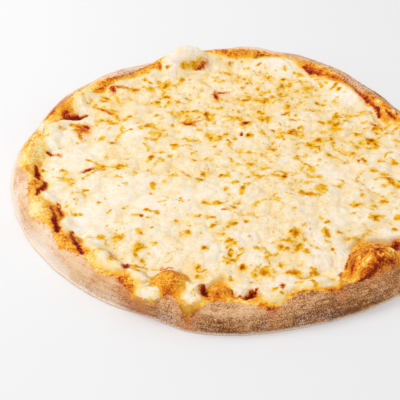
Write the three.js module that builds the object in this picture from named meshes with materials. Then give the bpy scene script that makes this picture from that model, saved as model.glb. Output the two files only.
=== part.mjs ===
// A whole margherita pizza, 32 cm across: a baked dough base with a raised, uneven rim, a thin layer
// of tomato sauce and a melted mozzarella layer with a lobed edge.
// Millimetres, +Z up. The origin is the middle of the flat underside.
//
// Each piece is one closed surface made of rings that run round the pizza. A ring says how many points
// it has, how far out each one lies and how high it is, as functions of the angle.
// Angles are in degrees anticlockwise from +X, seen from above.
import * as THREE from "three";

// ---- Driving dimensions ----
const OUTER_RADIUS = 159.6;
const BASE_THICKNESS = 6;
const RIM_HEIGHT = 17;
const RIM_WIDTH = 34; // from the outer edge to the foot of the rim's inner slope
const CROWN_INSET = 13; // from the outer edge to the top of the rim
const LIP_WIDTH = 1.4; // the thin crisp edge that the dough leaves on the baking tray
const LIP_HEIGHT = 1.6;
const UNDERSIDE_INSET = 2.6; // from the outer edge to where the dough meets the table
const WALL_ROUNDNESS = 2.1; // exponent of the rim's outer curve; 2 is a plain ellipse
const SAUCE_THICKNESS = 1.2;
const SAUCE_MARGIN = 1.2; // how far the sauce reaches past the cheese all round
const SAUCE_EDGE = 0.5;
const CHEESE_EDGE_RADIUS = 142;
const CHEESE_THIN = 1.9; // the cheese between its lumps
const CHEESE_EDGE = 0.8;
const CHEESE_EDGE_ROUNDING = 7; // how far in from its edge the cheese reaches its full thickness
const LAYER_GAP = 0.3;

// The dough isn't quite round: [waves round the pizza, height in mm, direction of a crest].
const OUTLINE_WAVES = [
  [2, 2.2, 9], [3, 1.5, -43], [4, 2.2, -13], [5, 0.6, 5], [6, 1.5, 17], [7, 0.6, 20], [9, 0.4, -20],
];
const CROWN_WAVES = [
  [1, 1.2, 90], [2, 0.9, 65], [5, 0.8, 20], [9, 0.7, 12], [14, 0.5, 4], [23, 0.35, 7],
];
const SLOPE_WAVES = [
  [7, 1.6, 31], [12, 1.1, 5], [19, 0.8, 11],
];

// Bubbles of dough under or beside the cheese: [angle, distance from the middle, radius, height].
const DOUGH_BUBBLES = [
  [109, 139, 24, 5.5], [252, 134, 15, 8.5], [311, 137, 19, 9.5], [344, 141, 15, 6],
  [21, 143, 13, 4], [186, 150, 12, 2.5], [220, 149, 11, 2], [266, 134, 9, 3],
];
const BUBBLE_FULLNESS = 1.35; // exponent; 1 is a plain dome, more draws its foot out

// Where the cheese runs further out or stops short: [angle, reach in mm, half width in degrees].
const CHEESE_LOBES = [
  [1, 5.6, 7], [75, 4.9, 7], [108, 5.7, 6.5], [147.5, 6.7, 7], [167.5, 6.4, 4.5], [199, 6.5, 3],
  [233, 7.5, 7], [246, 9, 4.5], [259, 6, 3.5], [270.5, 4, 3], [279, 3, 4], [334.5, 2.2, 3.5],
];
const CHEESE_BAYS = [
  [27, -11.2, 18.5], [59, -3.5, 10], [91, -2.3, 7], [126.5, -6.6, 11.5], [156, -10.5, 4],
  [177, -4.2, 3], [195, -3.5, 5.5], [205.5, -7.9, 5], [219.5, -5.9, 3], [252.5, -17, 4],
  [265, -14, 4.5], [274.5, -8, 3], [309, -10.2, 6.5], [315.5, -17.8, 7], [322, -5.5, 7.5],
  [344, -4.7, 5],
];

// Where bare sauce shows beside the cheese: [angle, width in mm, half width in degrees].
const SAUCE_POCKETS = [
  [6, 5, 3], [34, 5, 6], [62, 4, 4], [157, 10, 3.5], [177.5, 6, 3], [194, 5, 6], [206, 7, 5],
  [219.5, 7, 4], [261.5, 6, 3], [274.5, 9, 3], [318, 14, 4.5], [344, 4, 4],
];

// Large smooth pillows of cheese: [x, y, radius, height].
const CHEESE_PILLOWS = [
  [39, 127, 19, 3.4], [93, 97, 21, 3.6], [-76, 38, 18, 3.2], [-118, 46, 15, 3],
  [76, -94, 16, 3.4], [-112, -8, 16, 3], [-78, -30, 20, 3.2], [8, -26, 15, 3],
];

// The rest of the lumps lie on a sunflower spiral, which spreads them evenly.
const LUMP_COUNT = 110;
const LUMP_FIELD_RADIUS = 142;
const LUMP_RADIUS = 12; // the smallest
const LUMP_RADIUS_SPREAD = 7;
const LUMP_HEIGHT = 1.1;
const LUMP_HEIGHT_SPREAD = 1.9;
const SUNFLOWER_ANGLE = Math.PI * (3 - Math.sqrt(5));

// ---- How finely the surfaces are divided ----
const EDGE_POINTS = 150; // points on every ring near the rim
const CHEESE_RING_STEP = 6;
const MIDDLE_POINTS = 25;
const MIDDLE_RADIUS = 60;
const CAP_POINTS = 5;
const CAP_RADIUS = 12;
const SHARED_SHARES = [0.77, 0.86, 0.93, 0.975, 1]; // rings that all layers share, times the cheese edge
const RIM_SHARES = [0.28, 0.5, 0.7, 0.85, 0.95, 0.988, 1]; // from the sauce edge to the lip

const FULL_TURN = 2 * Math.PI;
const radians = THREE.MathUtils.degToRad;
const mix = THREE.MathUtils.lerp;

// ---- The shapes as functions ----
function waves(list, angle) {
  return list.reduce((sum, [count, height, crest]) => {
    return sum + height * Math.cos(count * (angle - radians(crest)));
  }, 0);
}

// Sum of smooth bumps round the edge, each reaching `size` at its own angle.
function bumps(list, angle) {
  return list.reduce((sum, [centre, size, halfWidth]) => {
    const away = THREE.MathUtils.euclideanModulo(THREE.MathUtils.radToDeg(angle) - centre + 180, 360) - 180;
    return sum + size * Math.exp(-((away / halfWidth) ** 2));
  }, 0);
}

const outerRadius = (angle) => OUTER_RADIUS + waves(OUTLINE_WAVES, angle);
const crownHeight = (angle) => RIM_HEIGHT + waves(CROWN_WAVES, angle);
const cheeseRadius = (angle) => CHEESE_EDGE_RADIUS + bumps(CHEESE_LOBES, angle) + bumps(CHEESE_BAYS, angle);
const sauceRadius = (angle) => cheeseRadius(angle) + SAUCE_MARGIN + bumps(SAUCE_POCKETS, angle);

function bubbleHeight(x, y) {
  return DOUGH_BUBBLES.reduce((sum, [angle, out, radius, height]) => {
    const away = Math.hypot(x - out * Math.cos(radians(angle)), y - out * Math.sin(radians(angle))) / radius;
    return sum + (away < 1 ? height * (1 - away * away) ** BUBBLE_FULLNESS : 0);
  }, 0);
}

// The dough's upper surface: flat in the middle, up the inner slope, over the crown, down to the lip.
function doughTop(distance, angle) {
  const wall = outerRadius(angle) - LIP_WIDTH;
  const crown = outerRadius(angle) - CROWN_INSET;
  const foot = outerRadius(angle) - RIM_WIDTH + waves(SLOPE_WAVES, angle);
  const bubble = bubbleHeight(distance * Math.cos(angle), distance * Math.sin(angle));
  if (distance > crown) {
    const out = Math.min(1, (distance - crown) / (wall - crown));
    const rise = (1 - out ** WALL_ROUNDNESS) ** (1 / WALL_ROUNDNESS);
    return LIP_HEIGHT + (crownHeight(angle) - LIP_HEIGHT + bubble) * rise;
  }
  const up = THREE.MathUtils.smoothstep(distance, foot, crown);
  return mix(BASE_THICKNESS, crownHeight(angle), up) + bubble;
}

const sauceBottom = (distance, angle) => doughTop(distance, angle) + LAYER_GAP;
const sauceTop = (distance, angle) => sauceBottom(distance, angle) + SAUCE_THICKNESS;
const cheeseBottom = (distance, angle) => sauceTop(distance, angle) + LAYER_GAP;

// A number from 0 to 1 that looks random but is the same every time.
function scatter(index, salt) {
  const value = Math.sin(index * 12.9898 + salt * 78.233) * 43758.5453;
  return value - Math.floor(value);
}

function spiralLumps() {
  const lumps = [];
  for (let i = 0; i < LUMP_COUNT; i++) {
    const out = LUMP_FIELD_RADIUS * Math.sqrt((i + 0.5) / LUMP_COUNT);
    const angle = i * SUNFLOWER_ANGLE;
    lumps.push([
      out * Math.cos(angle),
      out * Math.sin(angle),
      LUMP_RADIUS + LUMP_RADIUS_SPREAD * scatter(i, 1),
      LUMP_HEIGHT + LUMP_HEIGHT_SPREAD * scatter(i, 2),
    ]);
  }
  return lumps;
}
const LUMPS = [...spiralLumps(), ...CHEESE_PILLOWS];

// Lumps of melted cheese meet in creases, so the highest one counts at each place.
function lumpHeight(x, y) {
  return LUMPS.reduce((highest, [cx, cy, radius, height]) => {
    const away = ((x - cx) ** 2 + (y - cy) ** 2) / radius ** 2;
    return away < 1 ? Math.max(highest, height * (1 - away)) : highest;
  }, 0);
}

function cheeseTop(distance, angle) {
  const full = CHEESE_THIN + lumpHeight(distance * Math.cos(angle), distance * Math.sin(angle));
  const inward = Math.min(1, (cheeseRadius(angle) - distance) / CHEESE_EDGE_ROUNDING);
  const rounded = Math.sqrt(Math.max(0, 1 - (1 - inward) ** 2));
  return cheeseBottom(distance, angle) + mix(CHEESE_EDGE, full, rounded);
}

// ---- From rings to solids ----
// A ring whose distance is given by one function of the angle and whose height by another.
const ring = (points, distance, height) => ({ points, distance, height });

// Rings in and over the pizza's flat middle, from the shared rings inwards.
function flatMiddle(height) {
  return [
    ring(MIDDLE_POINTS, () => MIDDLE_RADIUS, height),
    ring(CAP_POINTS, () => CAP_RADIUS, height),
  ];
}

// The rings near the rim that all three layers share, so that their facets lie parallel.
function sharedRings(height) {
  return SHARED_SHARES.map((share) => ring(EDGE_POINTS, (angle) => share * cheeseRadius(angle), height));
}

// Triangles between two rings with any numbers of points, taking the next nearest point each time.
// Where both are as near, the inner ring waits, so that a layer's top and the next one's underside
// are divided alike.
function band(low, high, lowStart, highStart, outward, faces) {
  let i = 0;
  let j = 0;
  while (i < low || j < high) {
    const onLow = lowStart + (i % low);
    const onHigh = highStart + (j % high);
    const lead = (j + 1) * low - (i + 1) * high;
    if (j === high || (i < low && (lead > 0 || (lead === 0 && !outward)))) {
      i++;
      faces.push(onLow, lowStart + (i % low), onHigh);
    } else {
      j++;
      faces.push(onLow, highStart + (j % high), onHigh);
    }
  }
}

// The end of a solid: the first ring is closed facing down, the last one facing up.
function cap(points, start, up, faces) {
  for (let i = 1; i < points - 1; i++) {
    faces.push(start, start + (up ? i : i + 1), start + (up ? i + 1 : i));
  }
}

// A closed surface through the rings, from the middle of the underside round to the middle of the top.
function ringedSolid(rings) {
  const places = [];
  const faces = [];
  const starts = [];
  for (const { points, distance, height } of rings) {
    starts.push(places.length / 3);
    for (let i = 0; i < points; i++) {
      const angle = (FULL_TURN * i) / points;
      const out = distance(angle);
      places.push(out * Math.cos(angle), out * Math.sin(angle), height(out, angle));
    }
  }
  cap(rings[0].points, starts[0], false, faces);
  for (let k = 1; k < rings.length; k++) {
    const outward = rings[k].distance(0) > rings[k - 1].distance(0);
    band(rings[k - 1].points, rings[k].points, starts[k - 1], starts[k], outward, faces);
  }
  cap(rings.at(-1).points, starts.at(-1), true, faces);
  const geometry = new THREE.BufferGeometry();
  geometry.setAttribute("position", new THREE.Float32BufferAttribute(places, 3));
  geometry.setIndex(faces);
  geometry.computeVertexNormals();
  return geometry;
}

// ---- The pieces ----
function doughGeometry() {
  const edge = (inset) => (angle) => outerRadius(angle) - inset;
  const wall = edge(LIP_WIDTH);
  const underside = flatMiddle(() => 0).reverse();
  const lip = [
    ring(EDGE_POINTS, edge(UNDERSIDE_INSET), () => 0),
    ring(EDGE_POINTS, edge(0), () => LIP_HEIGHT * 0.4),
    ring(EDGE_POINTS, edge(0), () => LIP_HEIGHT * 0.85),
  ];
  const rim = [0, ...RIM_SHARES].reverse().map((share) =>
    ring(EDGE_POINTS, (angle) => mix(sauceRadius(angle), wall(angle), share), doughTop));
  const slope = sharedRings(doughTop).reverse();
  return ringedSolid([...underside, ...lip, ...rim, ...slope, ...flatMiddle(doughTop)]);
}

function sauceGeometry() {
  const edge = (height) => ring(EDGE_POINTS, sauceRadius, height);
  return ringedSolid([
    ...flatMiddle(sauceBottom).reverse(),
    ...sharedRings(sauceBottom),
    edge(sauceBottom),
    edge((distance, angle) => sauceBottom(distance, angle) + SAUCE_EDGE),
    ...sharedRings(sauceTop).reverse(),
    ...flatMiddle(sauceTop),
  ]);
}

// The cheese's top is divided evenly all over, because its lumps go right across.
function cheeseGeometry() {
  const steps = Math.round(CHEESE_EDGE_RADIUS / CHEESE_RING_STEP);
  const top = [];
  for (let step = steps; step > 0; step--) {
    const share = step / steps;
    const even = Math.round((FULL_TURN * share * CHEESE_EDGE_RADIUS) / CHEESE_RING_STEP);
    const points = Math.max(CAP_POINTS, Math.min(EDGE_POINTS, even));
    top.push(ring(points, (angle) => share * cheeseRadius(angle), cheeseTop));
  }
  return ringedSolid([
    ...flatMiddle(cheeseBottom).reverse(),
    ...sharedRings(cheeseBottom),
    ...top,
  ]);
}

// ---- Materials ----
const bakedDough = new THREE.MeshStandardMaterial({ color: 0xe0b48a, roughness: 0.85, metalness: 0 });
const tomatoSauce = new THREE.MeshStandardMaterial({ color: 0x8c1c12, roughness: 0.35, metalness: 0 });
const meltedCheese = new THREE.MeshStandardMaterial({ color: 0xf8e3b0, roughness: 0.45, metalness: 0 });

function piece(name, geometry, material) {
  const mesh = new THREE.Mesh(geometry, material);
  mesh.name = name;
  return mesh;
}

const pizza = new THREE.Group();
pizza.add(
  piece("dough_crust", doughGeometry(), bakedDough),
  piece("tomato_sauce", sauceGeometry(), tomatoSauce),
  piece("mozzarella_layer", cheeseGeometry(), meltedCheese),
);

export default pizza;
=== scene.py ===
# A whole margherita pizza on a white table: floury baked dough, tomato sauce and melted, browned
# mozzarella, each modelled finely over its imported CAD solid.
#
# Shapes are worked out in millimetres, in the CAD's frame: +X right, +Y away from the camera, +Z up,
# with the origin in the middle of the flat underside. Angles run anticlockwise from +X, in degrees in
# the lists and for single places, and in radians where a function takes many at once.

import math

import bpy
import numpy as np
from mathutils import Matrix, Vector


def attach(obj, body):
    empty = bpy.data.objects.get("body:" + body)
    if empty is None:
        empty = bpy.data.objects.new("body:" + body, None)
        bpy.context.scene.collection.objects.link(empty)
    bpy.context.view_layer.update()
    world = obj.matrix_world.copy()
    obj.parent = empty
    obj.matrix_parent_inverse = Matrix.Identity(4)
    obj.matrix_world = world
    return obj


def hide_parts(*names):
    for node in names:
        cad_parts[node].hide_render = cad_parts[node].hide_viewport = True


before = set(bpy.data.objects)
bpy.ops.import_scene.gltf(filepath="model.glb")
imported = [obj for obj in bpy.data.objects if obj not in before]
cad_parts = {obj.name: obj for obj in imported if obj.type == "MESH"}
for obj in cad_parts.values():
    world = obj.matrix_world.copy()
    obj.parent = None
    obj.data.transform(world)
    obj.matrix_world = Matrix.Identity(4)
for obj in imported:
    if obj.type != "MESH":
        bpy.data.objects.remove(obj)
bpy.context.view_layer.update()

MM = 0.001
SEED = 7

# ---- The pizza's sizes, as in the CAD ----
OUTER_RADIUS = 159.6
BASE_THICKNESS = 6
RIM_HEIGHT = 17
RIM_WIDTH = 34
CROWN_INSET = 13
LIP_WIDTH = 1.4
LIP_HEIGHT = 1.6
UNDERSIDE_INSET = 2.6
WALL_ROUNDNESS = 2.1
SAUCE_THICKNESS = 1.5
SAUCE_MARGIN = 1.2
CHEESE_EDGE_RADIUS = 142
CHEESE_THIN = 2.0

# [waves round the pizza, height in mm, direction of a crest]
OUTLINE_WAVES = [
    [2, 2.2, 9], [3, 1.5, -43], [4, 2.2, -13], [5, 0.6, 5], [6, 1.5, 17], [7, 0.6, 20], [9, 0.4, -20],
]
CROWN_WAVES = [
    [1, 1.2, 90], [2, 0.9, 65], [5, 0.8, 20], [9, 0.7, 12], [14, 0.5, 4], [23, 0.35, 7],
]
SLOPE_WAVES = [[7, 1.6, 31], [12, 1.1, 5], [19, 0.8, 11]]

# [angle, distance from the middle, radius, height]
DOUGH_BUBBLES = [
    [109, 139, 24, 5.5], [252, 134, 15, 8.5], [311, 137, 19, 9.5], [344, 141, 15, 6], [21, 143, 13, 4],
    [186, 150, 12, 2.5], [220, 149, 11, 2], [266, 134, 9, 3],
]
BUBBLE_FULLNESS = 1.35

# [angle, reach in mm, half width in degrees]
CHEESE_LOBES = [
    [1, 5.6, 7], [75, 4.9, 7], [108, 5.7, 6.5], [147.5, 6.7, 7], [167.5, 6.4, 4.5], [199, 6.5, 3],
    [233, 7.5, 7], [246, 9, 4.5], [259, 6, 3.5], [270.5, 4, 3], [279, 3, 4], [334.5, 2.2, 3.5],
]
CHEESE_BAYS = [
    [27, -11.2, 18.5], [59, -3.5, 10], [91, -2.3, 7], [126.5, -6.6, 11.5], [156, -10.5, 4], [177, -4.2, 3],
    [195, -3.5, 5.5], [205.5, -7.9, 5], [219.5, -5.9, 3], [252.5, -17, 4], [265, -14, 4.5], [274.5, -8, 3],
    [309, -10.2, 6.5], [315.5, -17.8, 7], [322, -5.5, 7.5], [344, -4.7, 5],
]
SAUCE_POCKETS = [
    [6, 5, 3], [34, 5, 6], [62, 4, 4], [157, 10, 3.5], [177.5, 6, 3], [194, 5, 6], [206, 7, 5],
    [219.5, 7, 4], [261.5, 6, 3], [274.5, 9, 3], [318, 14, 4.5], [344, 4, 4],
]

# Where the melted edge and the dough's wall lie a little inside the CAD's:
# [angle, mm, half width in degrees]. The wall's dents fade in over a span of distances, in mm.
EDGE_TRIM = [[287, -4, 5.5]]
WALL_DENTS = [[166, -3.4, 8], [78, -1.5, 6], [216, -1.2, 5], [30, -3, 6]]
DENT_SPAN = (138, 148)
# Where the wall's foot is drawn in under the rim, from one height to another.
FOOT_DENTS = [[249, -3.4, 8]]
FOOT_SPAN = (13, 3)
# Heights between which the dough gets its full relief, over the thin lip.
CLEAR_OF_LIP = (1.5, 5)

CHEESE_PILLOWS = [
    [39, 127, 19, 3.4], [93, 97, 21, 3.6], [-76, 38, 18, 3.2], [-118, 46, 15, 3], [76, -94, 16, 3.4],
    [-112, -8, 16, 3], [-78, -30, 20, 3.2], [8, -26, 15, 3],
]
LUMP_COUNT = 110
LUMP_FIELD_RADIUS = 142
LUMP_RADIUS = 12
LUMP_RADIUS_SPREAD = 7
LUMP_HEIGHT = 1.1
LUMP_HEIGHT_SPREAD = 1.9
LUMP_BEND = 3.5
SUNFLOWER_ANGLE = math.pi * (3 - math.sqrt(5))

# ---- What only the looks need ----
# The white cheese ends a little inside the edge of its layer, and here further in or out:
# [angle, mm, half width in degrees].
WHITE_INSET = 0.8
WHITE_EDGE = [
    [215, 3, 2], [252, -6, 3.5], [265.5, -9, 4.5], [275.3, -3, 1.2], [272, 3, 1.8], [259, 2, 2],
    [230, -4, 7], [240, -2, 3], [246, -3, 3.5], [297, 1.5, 4], [302, -7, 4], [308, -4, 3], [313, -2, 3],
    [318.5, -6, 4], [21, 6, 8], [70, 2, 5], [34, 7, 2], [117.5, -7, 1.6], [142, -8, 4], [154.5, 6, 2.5],
    [175.5, 4, 3], [209, -3, 3],
]
# Film inside the white cheese: [angle, distance, half length, half width]. White lobes inside the film
# have a depth in the middle too, and are the whiter the deeper they are.
FILM_HOLES = [[248, 132, 8, 8.5], [254, 129, 7, 8], [297, 133, 1.2, 5]]
WHITE_LOBES = [
    [166.5, 150, 7, 5, 5], [248.4, 150.3, 8.5, 4.8, 7], [258.8, 145, 6.5, 8.5, 4], [271.8, 133, 5, 6.5, 5],
    [279.8, 139.5, 8, 6, 6], [235, 144.5, 8, 3, 3], [35.7, 139.5, 2.4, 1.5, 1.5], [29, 142, 3, 1.6, 2],
    [25.8, 135.5, 3, 1.5, 2], [30.6, 137.2, 3, 1.1, 1.8], [23.6, 137, 3, 1.3, 1.8], [183, 152.5, 6, 2, 2],
]
# How far the gold film of baked sauce and cheese covers the dough, from the middle.
FILM_EDGE_RADIUS = 145.5
FILM_EDGE = [
    [27, -3, 12], [46, -7, 8], [64, 2, 6], [140, 4, 4], [183, 8, 5], [165, 7, 6], [78, 4, 7], [92, 1, 6],
    [107, 1, 8], [128, -6, 11], [156, 4, 7], [176, 10, 6], [187, 5, 4], [196, 6, 5], [206, 9.5, 6],
    [220, 7, 6], [234, 5, 6], [246, 10, 5], [250.5, 3, 2.5], [259, 11.5, 3.8], [268, -1, 3], [278.5, 5, 3],
    [287, -5, 5], [296.8, 3, 1.3], [299.5, -3.5, 3], [309, 2, 6], [303, 1.5, 4], [314, 3, 5], [318, 2, 6],
    [345, 3, 8],
]
# Where the film is redder and darker, or paler below 0: [angle, distance, half length, half width, change].
# A few of the paler ones are painted light on the film's domes, not paler film.
FILM_TINTS_AND_HIGHLIGHTS = [
    # The second, third and fourth places on the next line are painted highlights on the tops of the film's
    # domes at the left.
    [178, 146, 24, 8, -0.28], [184, 155, 10, 6, -0.3], [204.5, 151, 8, 5, -0.42], [170, 149, 7, 4, -0.1],
    [92, 144, 16, 4, 0.2], [148, 147, 9, 4, -0.4], [110, 143, 12, 4, 0.1], [56, 140, 9, 2.5, 0.3],
    [65, 143, 7, 3, 0.2], [141.5, 139.2, 8, 0.9, 0.6], [278.7, 149.8, 5, 2.4, 0.65],
    [280, 146.5, 7, 1.5, -0.3], [30, 139, 12, 6, -0.25], [322, 130, 5, 2, 0.4], [306.5, 144, 6, 3, 0.45],
    [254, 122, 9, 1.2, 0.5], [150, 148, 8, 4, -0.3], [141, 147, 8, 5, -0.25], [187.5, 150, 4, 3, 0.2],
    [176, 153, 7, 1, 0.35], [158, 143, 9, 4, 0.1], [158, 150.5, 12, 1.2, 0.5], [182, 144, 4, 2, 0.15],
    [171.5, 149, 4, 3, 0.2], [193, 145, 8, 3, 0.3], [204, 137, 9, 4, 0.36], [210, 140, 8, 3, 0.24],
    [221, 137, 5, 2.5, 0.4], [220, 146, 8, 3, 0.25], [231, 146, 9, 4, -0.3], [222, 146, 6, 4, -0.15],
    [240, 148.5, 5, 3.5, 0.3], [243, 151, 6, 2, 0.3], [247.5, 121, 4, 1.5, 0.75],
    [251, 118.5, 8, 1.4, 0.65], [254, 121, 5, 1.6, 0.7], [253, 132, 4, 10, 0.15], [248, 133, 5, 9, -0.12],
    [253, 146.5, 7, 3, 0.2], [259.5, 154.5, 7, 3.5, 0.8], [264, 143, 8, 3, 0.15], [267, 137, 7, 6, 0.16],
    # The first place on the next line is painted light, which lightens the side of a film dome that faces
    # away from the lamp.
    [180.5, 142.5, 8, 4, -0.12], [264.5, 134, 5, 8, 0.25], [269.2, 131, 1.6, 7, 0.6],
    [288, 140, 14, 1.2, 0.45], [293.5, 135, 5, 7, 0.2], [296.7, 129.5, 1.4, 4, 0.7],
    [296.7, 147, 1.8, 1.8, 0.5], [297, 138, 8, 2, -0.25], [310.9, 135.5, 2.5, 5, 0.25],
    [307, 141, 5, 5, -0.12], [305, 132, 1.6, 5, 0.4], [301.5, 145.5, 4, 1.6, 0.6],
    [297.2, 146.3, 2, 2.4, 0.5], [303.5, 146, 9, 3, 0.3], [310, 125, 8, 6, -0.15],
    [303, 145.8, 4, 1.2, 0.5], [307, 147, 6, 1.3, 0.45], [311.5, 148.5, 5, 1.3, 0.4],
    [312, 149.5, 8, 2, 0.25], [314.5, 142, 4, 1, -0.5], [319, 130, 9, 6, 0.3], [117, 134.5, 2, 4, 0.6],
    [128, 140, 22, 1.2, 0.4], [63, 142.5, 7, 2.5, 0.35], [55.5, 139.5, 6, 2, 0.25], [80, 145, 3, 1.5, 0.3],
    [82.5, 142, 3, 2, 0.5], [36, 139, 14, 6, 0.3], [18, 138, 16, 6, 0.3], [28, 136.5, 5, 4, 0.12],
    [24, 139, 8, 4, 0.1], [50, 141, 12, 5, 0.2], [0, 140, 14, 4, 0.3], [340, 138, 14, 4, 0.3],
]
SCORCHED_EDGE = [
    [189, 0.5, 3], [233, 0.15, 6], [246, 1, 6], [259, 0.9, 3], [279, 0.7, 4], [296.5, 1, 1.5],
    [308, 0.6, 5], [155, 0.6, 7], [167, 0.7, 6], [92, 0.3, 6], [240, 0.2, 4], [50, 0.4, 6],
]
# How brown the dough is, and how much darker its wall is near the tray: [angle, amount, half width].
DOUGH_BROWNING = [
    [157, 0.35, 7], [188.5, 0.12, 3.5], [234, 0.02, 5], [246, 0.35, 6], [262, 0.18, 10], [280, 0.3, 13],
    [298, 0.5, 12], [318, 0.42, 13], [340, 0.35, 14], [5, 0.3, 14], [30, 0.28, 15], [92, 0.1, 7],
    [203, 0.1, 4], [50, 0.25, 14], [68, 0.2, 8], [128, 0.16, 12],
]
# How much darker the wall is towards the tray, on the front and right sides: [angle, amount, half width].
WALL_DARKENING = [
    [250, 0.28, 7], [266, 0.4, 9], [284, 0.32, 12], [302, 0.08, 10], [340, 0.2, 16], [5, 0.2, 20],
]
# Where flour lies thick on it, and where it has none, so that it is smooth and shines a little.
FLOURED_DOUGH = [
    [172, 0.5, 6], [181, 0.6, 6], [195, 0.5, 5], [214, 0.5, 10], [142, 0.4, 8], [125, 0.5, 14],
    [87, 0.6, 12], [50, 0.4, 10], [31, 0.25, 8],
]
FLOURED_WALL = [
    [190, 0.35, 9], [200, 0.3, 12], [220, 0.4, 12], [238, 0.45, 8], [255, 0.1, 8], [280, 0.1, 20],
    [330, -0.12, 30],
]
BALD_DOUGH = [[234, 1, 4], [246, 0.9, 5], [203, 0.8, 4], [150, 0.3, 8]]

# The larger browned patches: [x, y, half length, half width, turn, strength].
PATCHES = [
    [-56, 100, 7, 6.5, 20, 0.85], [-67, 92, 4, 4.5, 0, 0.75], [-86, 91, 7, 2.2, 5, 0.85],
    [-20, 57, 5, 3.8, 0, 0.8], [43, 43, 6.5, 4.8, 30, 0.98], [57, 27, 5.5, 4.2, -15, 0.95],
    [-35, 48, 6, 3, -30, 0.95], [23, 84, 8, 4, 8, 0.9], [9, 85, 4.5, 3, -10, 0.95], [27, 118, 4, 3, 0, 0.9],
    [-8, 142, 3.5, 2.5, 0, 0.85], [18, 150, 3, 2.5, 0, 0.95], [0, 58, 11, 2.4, -6, 0.75],
    [25, 60, 8.5, 3.2, 4, 0.7], [80, 66, 5, 4, 0, 0.9], [91, 68, 9, 2, 6, 0.75],
    [103, 35, 8, 4.8, -28, 0.95], [105, 26, 5, 2, 0, 0.7], [88, 17, 4.5, 5, 0, 0.55],
    [106, 8, 3.8, 3.2, 0, 0.8], [62, -24, 4.5, 7.5, -20, 0.8], [52, -31, 10, 1.8, -6, 0.9],
    [84, -41, 5.5, 4.5, 0, 0.9], [41, -73, 5.5, 4.8, 0, 0.98], [61, -71, 3.4, 5, 10, 0.8],
    [18, -113, 8, 7.5, 0, 0.8], [37, -112, 8, 3.4, 6, 0.85], [4, -109, 3.8, 2.4, 0, 0.95],
    [23, -96, 5, 3, -20, 0.8], [46, -92, 3.4, 2.6, 0, 0.85], [51, -111, 3.4, 4.8, 20, 0.8],
    [-110, 91, 5, 2.4, 0, 0.6], [-62, 35, 5, 2.8, 0, 0.7], [-73, 40, 3.4, 3, 0, 0.75],
    [-18, 31, 4.8, 4.4, 10, 0.75], [-86, 52, 3, 2.8, 0, 0.8], [-110, -61, 5, 3, 0, 0.85],
    [-64, -92, 4.4, 4, 10, 0.9], [-120, -26, 6, 4, 10, 0.6], [60, 103, 6.5, 2.6, 15, 0.7],
    [45, 108, 3, 2.6, 0, 0.8], [41, 75, 3.4, 2.8, 0, 0.75], [117, 10, 4, 2.4, 0, 0.9],
    [29, -106, 3, 3.4, 0, 0.7], [14, -90, 3.4, 2.2, -20, 0.9], [-78, -84, 4, 3.4, 0, 0.6],
    [-90, -86, 3.2, 4.4, 30, 0.75], [97, -55, 8, 3.2, 12, 0.75], [-17, -61, 3.2, 2.6, 0, 0.7],
    [7, -63, 3.6, 2.2, 20, 0.7], [104, -36, 4, 3, 0, 0.75], [74, -20, 4, 2.7, 30, 0.7],
    [-4, -84, 4, 2.7, 0, 0.7], [-33, -77, 5.4, 2.2, 10, 0.7], [-55, -56, 4, 3, 0, 0.5],
    [49, 49, 3, 2.5, 0, 0.8], [76, 48, 7, 2.4, 5, 0.7], [68, 57, 3.6, 3, 0, 0.65],
    [101, 73, 4, 2, 15, 0.75], [88, 32, 3, 6, 20, 0.45], [-48, 7, 3, 2.4, 0, 0.7],
    [-53, 2, 3.4, 2.2, -20, 0.75], [-46, -16, 6, 2.8, 4, 0.65], [5, -30, 2.8, 6, -14, 0.85],
    [23, -2, 4.4, 2, -30, 0.85], [9, 15, 4.4, 2.2, 15, 0.75], [35, 36, 4, 1.6, 30, 0.9],
    [56, -2, 3, 3.4, 20, 0.8], [-30, 28, 4.5, 2, 20, 0.7], [-42.8, 120, 4.2, 3, 0, 0.75],
    [-35, 122.5, 4.5, 2, 20, 0.7], [-29.5, 127, 5.5, 2.4, 38, 0.5], [-118, 40, 4, 2, -20, 0.6],
    [-117, 26, 1.6, 4, 20, 0.8], [-141, 22, 5, 3, 0, 0.55], [-131, 31, 4, 3, 20, 0.5],
    [-88, -105, 7, 3, 30, 0.5], [-78, -110, 5, 3, 20, 0.55], [66, 119.5, 6, 1.6, -30, 0.6],
    [81, 103.5, 4.5, 2.5, 20, 0.7], [83, 99, 2.4, 1.6, 0, 0.98], [90.5, 104, 3, 1.3, -35, 0.95],
    [74, 109, 5, 2, -20, 0.55], [88, 95, 3, 1.5, 0, 0.5], [108, 51, 5, 3, 10, 0.85],
    [117, 57, 5, 2.2, 20, 0.7], [124, 50, 4, 2.4, 0, 0.75], [100, 58, 3, 2, 0, 0.6],
    [115, 44, 4, 1.6, 10, 0.6], [-28, -143, 4, 5, 0, 0.4], [-36, 50, 7, 3.2, 5, 0.8],
    [9, 51.5, 5.5, 3.6, 10, 1], [17.5, 85, 4.5, 3.8, 0, 1], [62, 32, 5, 3.6, -10, 0.9],
    [-65, -112, 5, 3, 20, 0.6], [-63, -122, 4, 5, 20, 0.6], [-98, -88, 4, 2, 20, 0.5],
]
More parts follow.
